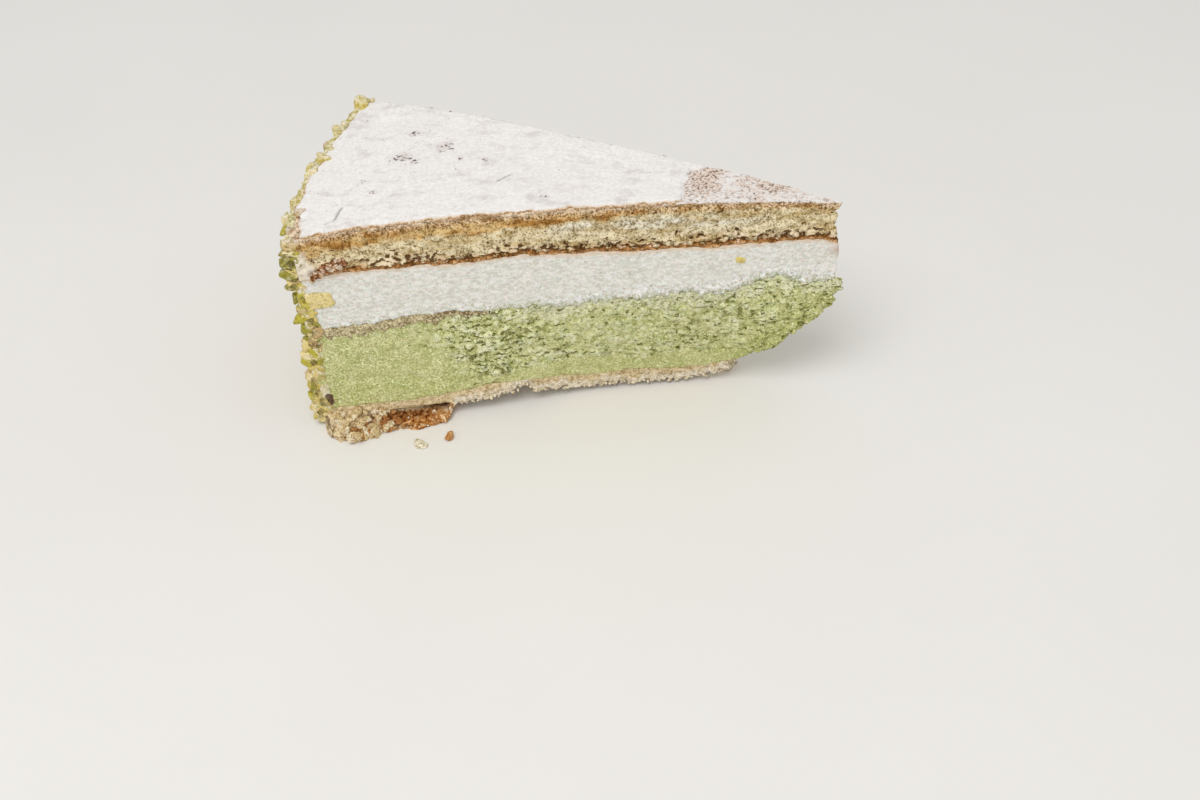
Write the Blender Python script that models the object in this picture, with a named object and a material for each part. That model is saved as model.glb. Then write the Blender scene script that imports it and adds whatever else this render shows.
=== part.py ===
"""One wedge slice of a pistachio ricotta cake, lying as it was served.

Slice coordinates, in which every shape is worked out:
    s    distance from the tip along the cake's radius
    v    fraction across the wedge, 0 on the front cut, 1 on the rear cut
    z    height above the surface the slice stands on
The curved outer wall faces -X, the tip +X and the front cut -Y.
"""

import math
import random

import bmesh
import bpy
import numpy as np
from mathutils import Euler, Matrix, Vector, noise

MM = 0.001

# The cake and the wedge cut from it
CORE_RADIUS = 123.5 * MM
WEDGE_ANGLE = math.radians(27.5)
TIP_RADIUS = 0.8 * MM
TIP_REACH = 1.1 * MM
TIP_REACH_FADE = 3 * MM
JOINT_GAP = 0.3 * MM

# Top of the sponge: a low dome that is highest at CROWN_AT
CROWN_HEIGHT = 60.6 * MM
CROWN_AT = 75 * MM
TIP_DROP = 5.0 * MM
RIM_DROP = 2.9 * MM
REAR_DROP = 1.1 * MM

# Heights of the layer faces on the front cut, as (s, z) in millimetres
SPONGE_UNDERSIDE = ((0, 46.9), (14, 47.6), (41, 47.9), (60, 49.2), (74, 49.5), (89, 48.2), (102, 48.7), (123.5, 46.5))
RICOTTA_UNDERSIDE = ((0, 34.6), (6, 34.6), (11, 36.8), (17, 36.9), (22, 34.6), (31, 33.4), (36, 35.2), (64, 34.1),
                     (97, 34.0), (111, 31.8), (123.5, 31.3))
PISTACHIO_UNDERSIDE = ((0, 31.5), (2.7, 25.8), (8.4, 21.8), (13, 16.0), (18, 13.4), (25, 8.2), (32, 6.2), (45, 6.7),
                       (60, 6.6), (70, 8.0), (80, 8.9), (90, 7.8), (110, 6.2), (119, 5.8), (123.5, 4.4))
BASE_FRONT_EDGE = ((24, 2.2), (32, 0.8), (45, 0.9), (60, 1.6), (70, 2.5), (77, 4.6), (84, 3.6), (92, 2.8), (95, 0.0),
                   (123.5, 0.0))

# Crumb line between the two creams, thick at the outer wall and gone at its inner end
CRUMB_THICKNESS = 1.3 * MM
CRUMB_THIN_END = 0.35 * MM

# The front cut leans in towards its foot along the middle of the slice
LEAN_DEPTH = 5.9 * MM
LEAN_TOP = 30 * MM
LEAN_OUTER_START = 100 * MM
LEAN_OUTER_FULL = 50 * MM
LEAN_TIP_START = 6 * MM
LEAN_TIP_FULL = 28 * MM

# Torn nose of pistachio cream that runs past the tip
NOSE_LENGTH = 1.5 * MM
NOSE_HEIGHT = 32.5 * MM
NOSE_SPREAD = 2.5 * MM
NOSE_FADE = 4 * MM

# Crusty piece of the bottom biscuit left at the outer end: how far it stands out of the front cut, as (s, out)
LUMP_REACH = ((92.5, 0.0), (93.5, 2.4), (102.5, 3.5), (111, 3.7), (114, 4.8), (117, 6.4), (121, 7.2), (123.5, 4.8))
LUMP_HEIGHT = 4.6 * MM
LUMP_FULL_HEIGHT = 2.2 * MM
SPLIT_HEIGHT = 3.6 * MM
SPLIT_HALF_WIDTH = 0.9 * MM
SPLIT_DEPTH = 4.0 * MM
SPLIT_FROM = 92 * MM
SPLIT_TO = 110 * MM
SPLIT_FADE = 4 * MM

# Icing sugar lies from the outer wall up to a ragged end near the tip
SUGAR_THICKNESS = 0.8 * MM
SUGAR_EDGE_BACK = 0.9 * MM
SUGAR_END_FRONT = 35.8 * MM
SUGAR_END_REAR = 31.8 * MM
SUGAR_END_RAGGED = 1.6 * MM

# Cream skin on the outer wall with chopped pistachios
COAT_THICKNESS = 1.6 * MM
COAT_FOOT = 1.2 * MM
COAT_TOP = 57.6 * MM
FOOT_FLARE = 1.8 * MM
FOOT_FLARE_HEIGHT = 16 * MM
NUT_COLUMNS = 11
NUT_ROWS = 12
NUT_GAPS = 0.07
NUT_RADIUS_MIN = 1.3 * MM
NUT_RADIUS_MAX = 2.3 * MM
NUT_SEED = 41

# Grid that every layer shares, so that neighbouring faces run parallel
RADIAL_CELLS = 41
BASE_CELLS = 33
SUGAR_CELLS = 30
CRUMB_CELLS = 14
ACROSS_CUTS = (0.12, 0.38, 0.62, 0.88)

HALF_ANGLE = WEDGE_ANGLE / 2
FRONT_NORMAL = np.array((math.sin(HALF_ANGLE), -math.cos(HALF_ANGLE), 0.0))
REAR_NORMAL = np.array((math.sin(HALF_ANGLE), math.cos(HALF_ANGLE), 0.0))


def along(points, s):
    """Straight interpolation of an outline given as (s, value) in millimetres."""
    places, values = zip(*points)
    return np.interp(s / MM, places, values) * MM


def smooth_step(start, end, value):
    """0 before start, 1 after end, with an S-shaped rise between."""
    t = np.clip((value - start) / (end - start), 0.0, 1.0)
    return t * t * (3.0 - 2.0 * t)


def grain(s, v, z, size, seed):
    """Smooth noise between -1 and 1, whose lumps measure about size."""
    offset = Vector((seed * 17.3, seed * 5.1, seed * 9.7))
    places = zip(s / size, v * CORE_RADIUS * WEDGE_ANGLE / size, z / size)
    return np.array([noise.noise(Vector(place) + offset) for place in places])


def top_height(s, v):
    """Height of the sponge's domed top: a power curve each side of the crown, lower at the rear."""
    towards_tip = TIP_DROP * np.clip((CROWN_AT - s) / CROWN_AT, 0, 1) ** 2.5
    towards_rim = RIM_DROP * np.clip((s - CROWN_AT) / (CORE_RADIUS - CROWN_AT), 0, 1) ** 1.6
    rear = REAR_DROP * v * smooth_step(0, 60 * MM, s)
    return CROWN_HEIGHT - towards_tip - towards_rim - rear


def sponge_underside(s, v):
    return along(SPONGE_UNDERSIDE, s) + 0.35 * MM * grain(s, v, s * 0, 14 * MM, 3)


def ricotta_underside(s, v):
    return along(RICOTTA_UNDERSIDE, s) + 0.5 * MM * v * grain(s, v, s * 0, 12 * MM, 5)


def pistachio_underside(s, v):
    return along(PISTACHIO_UNDERSIDE, s) + 0.6 * MM * v * grain(s, v, s * 0, 12 * MM, 7)


def base_underside(s, v):
    """The torn front edge hangs above the surface; behind it the biscuit stands flat on it."""
    return along(BASE_FRONT_EDGE, s) * (1.0 - smooth_step(0.0, ACROSS_CUTS[0], v))


def crumb_thickness(s):
    inner_end = radial_station(CRUMB_CELLS)
    fade = smooth_step(inner_end, inner_end + 22 * MM, s)
    return CRUMB_THIN_END + (CRUMB_THICKNESS - CRUMB_THIN_END) * fade


def radial_station(cell):
    """Distance from the tip of a grid line, counted from the outer wall."""
    return CORE_RADIUS - (CORE_RADIUS - TIP_RADIUS) * cell / RADIAL_CELLS


def lean(s, z):
    """How far the front cut stands back at this height, in the middle stretch of the slice."""
    reach = smooth_step(LEAN_OUTER_START, LEAN_OUTER_FULL, s) * smooth_step(LEAN_TIP_START, LEAN_TIP_FULL, s)
    return LEAN_DEPTH * reach * np.clip((LEAN_TOP - z) / LEAN_TOP, 0.0, 1.0)


def lump_out(s, z):
    """Reach of the crusty bottom piece out of the front cut, with the split above it."""
    reach = along(LUMP_REACH, s) * (1.0 - smooth_step(LUMP_FULL_HEIGHT, LUMP_HEIGHT, z))
    in_split = smooth_step(SPLIT_FROM, SPLIT_FROM + SPLIT_FADE, s) * smooth_step(SPLIT_TO, SPLIT_TO - SPLIT_FADE, s)
    at_split = np.exp(-((z - SPLIT_HEIGHT) / SPLIT_HALF_WIDTH) ** 2)
    return reach - SPLIT_DEPTH * in_split * at_split


def slice_points(s, v, z, front_out, rear_out):
    """Polar points of the wedge, pushed out of its front and rear cuts in proportion to their nearness.

    The crumbled tip reaches a little past the line where the two cuts meet.
    """
    angle = (v - 0.5) * WEDGE_ANGLE
    tip = TIP_REACH * np.exp(-s / TIP_REACH_FADE)
    points = np.stack((tip - s * np.cos(angle), s * np.sin(angle), z), axis=1)
    points += np.outer((1.0 - v) * front_out, FRONT_NORMAL)
    points += np.outer(v * rear_out, REAR_NORMAL)
    return points


def cut_relief(s, v, z, depth, size, seed):
    """Crumbly relief of a cut face: only the points on the two cuts move."""
    on_cut = (v < 0.001) | (v > 0.999)
    near_tip = smooth_step(0.0, 9 * MM, s)
    return depth * on_cut * near_tip * grain(s, v, z, size, seed)


def cut_block(cuts_u, cuts_v, cuts_w):
    """A unit cube primitive, sliced by planes across its three directions."""
    block = bmesh.new()
    bmesh.ops.create_cube(block, size=1.0, matrix=Matrix.Translation((0.5, 0.5, 0.5)))
    for axis, cuts in enumerate((cuts_u, cuts_v, cuts_w)):
        normal = Vector((0.0, 0.0, 0.0))
        normal[axis] = 1.0
        for cut in cuts:
            geometry = block.verts[:] + block.edges[:] + block.faces[:]
            bmesh.ops.bisect_plane(block, geom=geometry, plane_co=normal * cut, plane_no=normal)
    return block


def even_cuts(cells):
    return tuple(i / cells for i in range(1, cells))


def new_material(name, colour, roughness):
    material = bpy.data.materials.new(name)
    material.use_nodes = True
    shader = material.node_tree.nodes["Principled BSDF"]
    shader.inputs["Base Color"].default_value = (*colour, 1.0)
    shader.inputs["Roughness"].default_value = roughness
    shader.inputs["Metallic"].default_value = 0.0
    return material


def add_object(name, mesh, collection, material):
    part = bpy.data.objects.new(name, mesh)
    part.data.materials.append(material)
    collection.objects.link(part)
    return part


def layer(name, cells, levels, shape, collection, material):
    """A cake layer: the sliced cube, whose points shape() carries from (s, v, w) to their places."""
    block = cut_block(even_cuts(cells), ACROSS_CUTS, even_cuts(levels))
    unit = np.array([vert.co for vert in block.verts], dtype=float)
    s = CORE_RADIUS - unit[:, 0] * (CORE_RADIUS - radial_station(cells))
    points = shape(s, unit[:, 1], unit[:, 2])
    for vert, point in zip(block.verts, points):
        vert.co = point
    bmesh.ops.triangulate(block, faces=block.faces[:])
    mesh = bpy.data.meshes.new(name)
    block.to_mesh(mesh)
    block.free()
    return add_object(name, mesh, collection, material)


def shape_top_sponge(s, v, w):
    """Sponge between the ricotta and the icing sugar, with its cut faces crumbled."""
    low = sponge_underside(s, v) + JOINT_GAP / 2
    high = top_height(s, v)
    z = low + (high - low) * w
    relief = cut_relief(s, v, z, 0.7 * MM, 5 * MM, 11)
    return slice_points(s, v, z, relief, relief)


def shape_ricotta(s, v, w):
    """Smooth ricotta cream, slightly smeared by the knife."""
    low = ricotta_underside(s, v) + JOINT_GAP / 2
    high = sponge_underside(s, v) - JOINT_GAP / 2
    z = low + (high - low) * w
    relief = cut_relief(s, v, z, 0.4 * MM, 8 * MM, 13)
    return slice_points(s, v, z, relief, relief)


def shape_crumb_line(s, v, w):
    """Thin crumb layer under the ricotta, fading out inwards."""
    high = ricotta_underside(s, v) - JOINT_GAP / 2
    z = high - crumb_thickness(s) * (1.0 - w)
    relief = cut_relief(s, v, z, 0.4 * MM, 4 * MM, 17)
    return slice_points(s, v, z, relief, relief)


def shape_pistachio(s, v, w):
    """Pistachio cream: crumbly cuts, a torn and undercut end at the tip, and a nose running past it."""
    low = pistachio_underside(s, v) + JOINT_GAP / 2
    beside_crumb = s > radial_station(CRUMB_CELLS) - 1.5 * MM
    high = ricotta_underside(s, v) - JOINT_GAP / 2 - (crumb_thickness(s) + JOINT_GAP) * beside_crumb
    z = low + (high - low) * w
    relief = cut_relief(s, v, z, 1.1 * MM, 6 * MM, 19)
    points = slice_points(s, v, z, relief - lean(s, z), relief)
    nose = NOSE_LENGTH * np.exp(-((z - NOSE_HEIGHT) / NOSE_SPREAD) ** 2 - s / NOSE_FADE)
    points[:, 0] += nose
    return points


def shape_base(s, v, w):
    """Bottom biscuit: ragged front edge, crusty lump standing out at the outer end, flat underneath."""
    low = base_underside(s, v)
    high = pistachio_underside(s, v) - JOINT_GAP / 2
    z = low + (high - low) * w
    relief = cut_relief(s, v, z, 1.0 * MM, 4 * MM, 23)
    return slice_points(s, v, z, relief - lean(s, z) + lump_out(s, z), relief)


def shape_sugar(s, v, w):
    """Icing sugar on the dome; its long edges and its end near the tip are ragged."""
    fraction = (CORE_RADIUS - s) / (CORE_RADIUS - radial_station(SUGAR_CELLS))
    ragged = grain(s, v, s * 0, 6 * MM, 29)
    end = SUGAR_END_FRONT + (SUGAR_END_REAR - SUGAR_END_FRONT) * v + SUGAR_END_RAGGED * ragged
    s = CORE_RADIUS - (CORE_RADIUS - end) * fraction
    thickness = SUGAR_THICKNESS * (0.75 + 0.5 * np.abs(grain(s, v, s * 0, 9 * MM, 31)))
    z = top_height(s, v) + JOINT_GAP + thickness * w
    edge = SUGAR_EDGE_BACK * (ragged - 1.0)
    return slice_points(s, v, z, edge, edge)


def coat_radius(z):
    """Outer radius of the cream skin, flaring out towards the foot."""
    flare = FOOT_FLARE * smooth_step(FOOT_FLARE_HEIGHT, 0.0, z)
    return CORE_RADIUS + JOINT_GAP + COAT_THICKNESS + flare


def cream_skin(collection, material):
    """Curved skin on the outer wall: the sliced cube bent round the cake's axis."""
    block = cut_block((), even_cuts(12), even_cuts(12))
    unit = np.array([vert.co for vert in block.verts], dtype=float)
    z = COAT_FOOT + (COAT_TOP - COAT_FOOT) * unit[:, 2]
    inner = np.full_like(z, CORE_RADIUS + JOINT_GAP)
    outer = coat_radius(z)
    s = outer + (inner - outer) * unit[:, 0]
    still = np.zeros_like(s)
    for vert, point in zip(block.verts, slice_points(s, unit[:, 1], z, still, still)):
        vert.co = point
    bmesh.ops.triangulate(block, faces=block.faces[:])
    mesh = bpy.data.meshes.new("nut_coat")
    block.to_mesh(mesh)
    block.free()
    return add_object("nut_coat", mesh, collection, material)


def nut_piece(name, place, radius, draw, collection):
    """One chopped pistachio: an icosahedron with uneven corners, pressed half into the cream."""
    nut = bmesh.new()
    bmesh.ops.create_icosphere(nut, subdivisions=1, radius=radius)
    stretch = Vector((draw.uniform(0.7, 0.9), draw.uniform(0.9, 1.35), draw.uniform(0.8, 1.15)))
    turn = Euler([draw.uniform(0, math.tau) for _ in range(3)]).to_matrix()
    for vert in nut.verts:
        vert.co = turn @ (vert.co * stretch * draw.uniform(0.82, 1.12)) + place
    mesh = bpy.data.meshes.new(name)
    nut.to_mesh(mesh)
    nut.free()
    piece = bpy.data.objects.new(name, mesh)
    collection.objects.link(piece)


def scatter_nuts(collection):
    """Nuts in rows over the wall, out to both cuts, each moved a little, with gaps left at random."""
    draw = random.Random(NUT_SEED)
    for row in range(NUT_ROWS):
        for column in range(NUT_COLUMNS):
            radius = draw.uniform(NUT_RADIUS_MIN, NUT_RADIUS_MAX)
            across = (column + draw.uniform(-0.3, 0.3)) / (NUT_COLUMNS - 1)
            up = (row + 0.25 + 0.5 * (column % 2) + draw.uniform(-0.25, 0.25)) / NUT_ROWS
            if draw.random() < NUT_GAPS:
                continue
            margin = 1.3 * radius / (CORE_RADIUS * WEDGE_ANGLE)
            across = min(max(across, margin), 1.0 - margin)
            lowest = COAT_FOOT + 0.9 * radius
            z = lowest + (COAT_TOP - 0.6 * radius - lowest) * up
            angle = (across - 0.5) * WEDGE_ANGLE
            distance = coat_radius(z) + 0.25 * radius
            place = Vector((-distance * math.cos(angle), distance * math.sin(angle), z))
            nut_piece("nut_%d_%d" % (row, column), place, radius, draw, collection)


def fuse(target, pieces):
    """Union of a whole collection with the target, applied, after which its objects go."""
    union = target.modifiers.new("fuse", "BOOLEAN")
    union.operation = "UNION"
    union.operand_type = "COLLECTION"
    union.collection = pieces
    union.solver = "MANIFOLD"
    evaluated = target.evaluated_get(bpy.context.evaluated_depsgraph_get())
    fused = bpy.data.meshes.new_from_object(evaluated)
    target.modifiers.clear()
    plain = target.data
    target.data = fused
    bpy.data.meshes.remove(plain)
    for piece in list(pieces.objects):
        bpy.data.objects.remove(piece)
    bpy.data.collections.remove(pieces)


def stand_on_origin(parts, collection):
    """Parent all parts to one empty, moved so that the slice's box stands centred on the origin."""
    corners = np.array([vert.co for part in parts for vert in part.data.vertices])
    low = corners.min(axis=0)
    high = corners.max(axis=0)
    origin = bpy.data.objects.new("slice_place", None)
    origin.location = (-(low[0] + high[0]) / 2, -(low[1] + high[1]) / 2, -low[2])
    collection.objects.link(origin)
    for part in parts:
        part.parent = origin


def clear_scene():
    for thing in list(bpy.data.objects):
        bpy.data.objects.remove(thing)


def build_slice():
    clear_scene()
    cake = bpy.data.collections.new("pistachio_ricotta_cake")
    nuts = bpy.data.collections.new("chopped_nuts")
    bpy.context.scene.collection.children.link(cake)
    bpy.context.scene.collection.children.link(nuts)

    sponge_crumb = new_material("sponge_crumb", (0.72, 0.56, 0.31), 0.9)
    ricotta_cream = new_material("ricotta_cream", (0.84, 0.84, 0.80), 0.55)
    pistachio_cream = new_material("pistachio_cream", (0.52, 0.62, 0.30), 0.6)
    biscuit = new_material("biscuit", (0.68, 0.55, 0.38), 0.9)
    sugar = new_material("sugar", (0.90, 0.89, 0.89), 0.8)
    pistachio_nut = new_material("pistachio_nut", (0.42, 0.42, 0.10), 0.6)

    parts = [
        layer("base_biscuit", BASE_CELLS, 6, shape_base, cake, biscuit),
        layer("pistachio_cream", RADIAL_CELLS, 8, shape_pistachio, cake, pistachio_cream),
        layer("crumb_line", CRUMB_CELLS, 1, shape_crumb_line, cake, sponge_crumb),
        layer("ricotta_cream", RADIAL_CELLS, 3, shape_ricotta, cake, ricotta_cream),
        layer("top_sponge", RADIAL_CELLS, 3, shape_top_sponge, cake, sponge_crumb),
        layer("icing_sugar", SUGAR_CELLS, 1, shape_sugar, cake, sugar),
    ]
    coat = cream_skin(cake, pistachio_nut)
    scatter_nuts(nuts)
    fuse(coat, nuts)
    parts.append(coat)
    stand_on_origin(parts, cake)


build_slice()
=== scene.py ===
"""Looks of one wedge slice of pistachio ricotta cake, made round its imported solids.

Slice coordinates, in millimetres, in which every shape is worked out:
    s    distance from the tip along the cake's radius
    v    fraction across the wedge, 0 on the front cut, 1 on the rear cut
    z    height above the floor
"""

import functools
import itertools
import math

import bpy
import numpy as np
from mathutils import Matrix, Vector


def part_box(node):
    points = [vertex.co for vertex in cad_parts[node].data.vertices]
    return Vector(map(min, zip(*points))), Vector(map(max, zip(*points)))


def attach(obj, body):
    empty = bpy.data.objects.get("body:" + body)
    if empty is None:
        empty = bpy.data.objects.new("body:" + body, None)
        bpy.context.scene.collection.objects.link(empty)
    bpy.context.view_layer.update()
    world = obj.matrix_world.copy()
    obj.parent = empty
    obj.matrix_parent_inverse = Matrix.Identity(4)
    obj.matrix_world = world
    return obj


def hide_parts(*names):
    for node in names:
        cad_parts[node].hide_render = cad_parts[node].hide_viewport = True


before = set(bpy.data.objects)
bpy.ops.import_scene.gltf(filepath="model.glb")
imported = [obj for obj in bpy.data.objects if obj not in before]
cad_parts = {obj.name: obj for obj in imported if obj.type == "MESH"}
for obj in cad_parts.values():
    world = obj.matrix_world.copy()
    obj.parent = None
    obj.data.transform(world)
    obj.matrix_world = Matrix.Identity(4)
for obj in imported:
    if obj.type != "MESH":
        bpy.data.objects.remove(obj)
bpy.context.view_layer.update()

MM = 0.001

# The wedge
CORE_RADIUS = 123.5
WEDGE_ANGLE = math.radians(27.5)
HALF_ANGLE = WEDGE_ANGLE / 2
TIP_RADIUS = 0.8
TIP_REACH = 1.1
TIP_REACH_FADE = 3.0
SKIN_GAP = 0.3
FRONT_NORMAL = np.array((math.sin(HALF_ANGLE), -math.cos(HALF_ANGLE), 0.0))
REAR_NORMAL = np.array((math.sin(HALF_ANGLE), math.cos(HALF_ANGLE), 0.0))

# The tip's place in the frame, from the coat's box: its inner ends lie on the two cuts
coat_low, coat_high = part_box("nut_coat")
TIP_X = coat_high[0] / MM + (CORE_RADIUS + SKIN_GAP) * math.cos(HALF_ANGLE)
TIP_Y = (coat_low[1] + coat_high[1]) / 2 / MM

# Domed top
CROWN_HEIGHT = 60.6
CROWN_AT = 75.0
TIP_DROP = 3.7
RIM_DROP = 2.9
REAR_DROP = 1.1

# Cells of each layer's grid: along the radius, across the wedge, upwards
SPONGE_CELLS = (420, 28, 46)
SUGAR_CELLS = (330, 110, 3)
RICOTTA_CELLS = (375, 24, 40)
CRUMB_LINE_CELLS = (240, 16, 7)
PISTACHIO_CELLS = (420, 18, 80)
BASE_CELLS = (330, 28, 30)
COAT_CELLS = (3, 90, 90)

# How fast relief fades away from a cut, and the height below which no loose bit reaches
RELIEF_FADE = 0.9
LOWEST_CRUMB = 0.02
LOWEST_NUT = 0.3

# Heights of the layer faces on the front cut, as (s, z)
SPONGE_UNDERSIDE = ((0, 44.6), (2, 46.8), (14, 47.1), (41, 47.3), (60, 48.6), (74, 49.3), (89, 47.8), (102, 48.0),
                    (111, 48.2), (123.5, 46.9))
RICOTTA_UNDERSIDE = ((0, 34.6), (6, 34.6), (11, 36.2), (17, 36.3), (22, 34.4), (31, 33.2), (36, 34.3), (50, 33.6),
                     (66, 33.0), (76, 33.4), (97, 33.9), (111, 31.8), (123.5, 31.3))
PISTACHIO_UNDERSIDE = ((0, 31.5), (2.7, 25.8), (8.4, 21.8), (13, 16.0), (18, 13.4), (25, 8.2), (32, 6.2),
                       (45, 6.7), (60, 6.6), (70, 8.0), (80, 8.9), (90, 7.8), (110, 6.2), (119, 5.8), (123.5, 4.4))
BASE_FRONT_EDGE = ((24, 3.8), (28, 2.4), (33, 1.0), (45, 0.9), (60, 1.6), (70, 2.5), (74, 3.4), (75, 6.0),
                   (76.4, 6.2), (78, 4.4), (84, 3.6), (93.5, 2.8), (96.5, 0.0), (126, 0.0))
BASE_INNER_END = 24.76
UNDERSIDE_RETURN = (0.15, 0.5)
CORE_FLARE = 2.8
CORE_FLARE_HEIGHTS = (30.0, 10.0)

# Crumb line between the creams
CRUMB_INNER_END = 81.6
CRUMB_THICKNESS = 2.3
CRUMB_THIN_END = 1.2

# Lean of the front cut, torn nose at the tip, crusty piece left at the outer end
LEAN_DEPTH = 5.9
LEAN_TOP = 30.0
LEAN_OUTER = (100.0, 50.0)
LEAN_TIP = (6.0, 28.0)
NOSE_LENGTH = 1.5
NOSE_HEIGHT = 32.5
NOSE_SPREAD = 2.5
NOSE_FADE = 4.0
LUMP_REACH = ((94.0, 0.0), (95.0, 2.6), (102.5, 3.6), (111, 3.7), (114, 4.8), (117, 6.4), (120, 6.6), (122, 4.8),
              (123.5, 2.4))
LUMP_HEIGHTS = ((92, 3.0), (96, 2.9), (108, 2.5), (112, 2.4), (116, 4.4), (123.5, 4.6))
SPLIT_HALF_WIDTH = 0.75
SPLIT_DEPTH = 1.8
SPLIT_SPAN = (93.5, 114.0)
SPLIT_FADE = 2.5

# Depth of the golden crumb below the top, as (s, mm)
GOLDEN_DEPTH = ((0, 1.2), (35, 2.0), (60, 3.1), (80, 3.9), (123.5, 4.4))

# Icing sugar
SUGAR_THICKNESS = 0.8
SUGAR_END_FRONT = 35.8
SUGAR_END_REAR = 31.8
# Places where it is thin, as (along the front cut, behind it, half width)
THIN_SPOTS = ((99.3, 26.0, 4.5), (96.3, 23.6, 2.5), (89.0, 30.0, 4.0), (90.5, 27.8, 2.0), (85.0, 23.3, 1.5),
              (108.2, 19.2, 1.5), (104.5, 13.0, 2.0), (65.3, 4.8, 1.6), (97.0, 36.0, 2.5), (79.0, 22.0, 1.2))
# Fine curved cracks, each as (behind the front cut, along it)
CRACKS = (((3.4, 115.9), (3.9, 114.8), (4.4, 113.6), (5.5, 113.1), (7.0, 112.9), (8.8, 112.2)),
          ((12.6, 76.5), (13.4, 75.6), (14.4, 74.6), (15.4, 72.9)))

# Cream skin and chopped nuts on the outer wall
COAT_THICKNESS = 1.6
COAT_FOOT = 1.2
COAT_TOP = 57.6
FOOT_FLARE = 0.8
FOOT_FLARE_HEIGHT = 12.0
COAT_PAST_CUT = 0.22
NUTS_PAST_CUT = 0.3
# Large bits in plain sight, as (fraction across, distance from the tip, height, size, tone)
# Tones near 0.6 give dark olive bits, partly painted shade between the nuts along the front edge
CHOSEN_NUTS = (
    (0.94, 123.8, 58.0, 1.7, 0.3), (0.55, 123.6, 57.8, 1.7, 0.3), (0.45, 124.6, 57.2, 1.6, 0.02),
    (0.27, 124.8, 56.4, 2.6, 0.34), (0.18, 122.9, 58.0, 1.4, 0.77), (0.14, 125.3, 55.6, 2.2, 0.52),
    (0.09, 124.0, 57.2, 1.2, 0.66), (0.04, 125.0, 56.2, 1.6, 0.04), (0.01, 125.2, 54.6, 1.5, 0.64),
    (0.01, 125.5, 51.6, 2.1, 0.63), (0.01, 125.0, 48.0, 2.0, 0.60), (0.01, 125.4, 44.6, 1.7, 0.64),
    (0.01, 125.6, 41.2, 1.6, 0.62), (0.01, 124.4, 41.6, 1.9, 0.5), (0.01, 124.9, 38.2, 2.0, 0.46),
    (0.01, 125.0, 34.9, 2.0, 0.5), (0.01, 125.4, 31.8, 1.6, 0.58), (0.01, 126.0, 28.6, 1.0, 0.6),
    (0.01, 125.8, 26.4, 1.9, 0.18), (0.01, 126.0, 23.2, 1.9, 0.06), (0.01, 126.2, 19.8, 1.8, 0.24),
    (0.01, 126.4, 16.4, 2.0, 0.16), (0.01, 126.6, 13.2, 1.8, 0.28), (0.01, 124.2, 9.0, 1.9, 0.96),
    (0.01, 127.2, 8.6, 1.7, 0.2), (0.01, 126.8, 4.8, 2.1, 0.26), (0.01, 124.6, 4.2, 2.0, 0.74))

# Crumbs of the base, as (how many, limits of s, of size, of height above the front edge, of tone)
BASE_CRUMBS = ((75, (109.5, 124.8), (0.4, 1.3), (0.2, 3.9), (0.0, 0.66)),
               (34, (108, 122), (0.3, 0.8), (0.2, 2.4), (0.7, 0.92)),
               (30, (94, 108), (0.2, 0.5), (0.2, 2.2), (0.62, 0.8)),
               (90, (26, 92), (0.2, 0.45), (0.2, 1.2), (0.5, 0.64)))

# Camera: its axis meets the floor at CAMERA_AIM, given from the tip
CAMERA_AIM = (-56.3, -12.3)
CAMERA_DISTANCE = 374.3
CAMERA_ELEVATION = math.radians(43.97)
CAMERA_AZIMUTH = math.radians(15.72)
CAMERA_ROLL = math.radians(-5.69)
CAMERA_LENS = 44.7
SENSOR_WIDTH = 36.0
NEAREST_SEEN = 0.01

# Studio, in metres and watts
FLOOR_REACH = 3.0
SURROUNDINGS = "#fbfaf8"
SURROUNDINGS_STRENGTH = 0.615
LAMP_PLACE = (-0.07, -0.42, 0.87)
LAMP_AIM = (0.0, 0.0, 0.03)
LAMP_POWER = 3.75
LAMP_SIZE = 0.5


# Patterns

def smooth_step(start, end, value):
    """0 before start, 1 after end, with an S-shaped rise between; start may be the larger."""
    t = np.clip((value - start) / (end - start), 0.0, 1.0)
    return t * t * (3.0 - 2.0 * t)


def bump_at(value, centre, width):
    """Bell curve of the given half width."""
    return np.exp(-((value - centre) / width) ** 2)


def value_noise(points, seed):
    """Random numbers between -1 and 1 on a unit lattice, blended between its corners by the quintic fade."""
    size = 32
    dimensions = points.shape[1]
    table = np.random.default_rng(seed).uniform(-1.0, 1.0, (size,) * dimensions)
    base = np.floor(points).astype(int)
    part = points - base
    fade = part ** 3 * (part * (part * 6.0 - 15.0) + 10.0)
    total = np.zeros(len(points))
    for corner in itertools.product((0, 1), repeat=dimensions):
        weight = np.prod(np.where(corner, fade, 1.0 - fade), axis=1)
        total += weight * table[tuple(((base + corner) % size).T)]
    return total


def fractal(points, size, octaves, seed):
    """Sum of value noise, each octave half as large and half as strong; lumps measure about size."""
    total = np.zeros(len(points))
    strength = 1.0
    for octave in range(octaves):
        total += strength * value_noise(points / size + 7.3 * octave, seed + octave)
        size /= 2.0
        strength /= 2.0
    return total


def warped(points, size, amount, seed):
    """Points shifted by noise of this size and amount, so that a regular pattern turns uneven."""
    shifts = [fractal(points, size, 2, seed + 10 * axis) for axis in range(points.shape[1])]
    return points + amount * np.stack(shifts, axis=1)


# Shapes shared by the layers

def read_off(table, s):
    """Value at s of a table of (s, value) pairs, straight between them."""
    return np.interp(s, *zip(*table))


def outline(points, s):
    """Heights of an outline given as (s, z), with its corners rounded by averaging over 4 mm."""
    return sum(read_off(points, s + shift) for shift in (-2.0, -1.0, 0.0, 1.0, 2.0)) / 5.0


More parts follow.
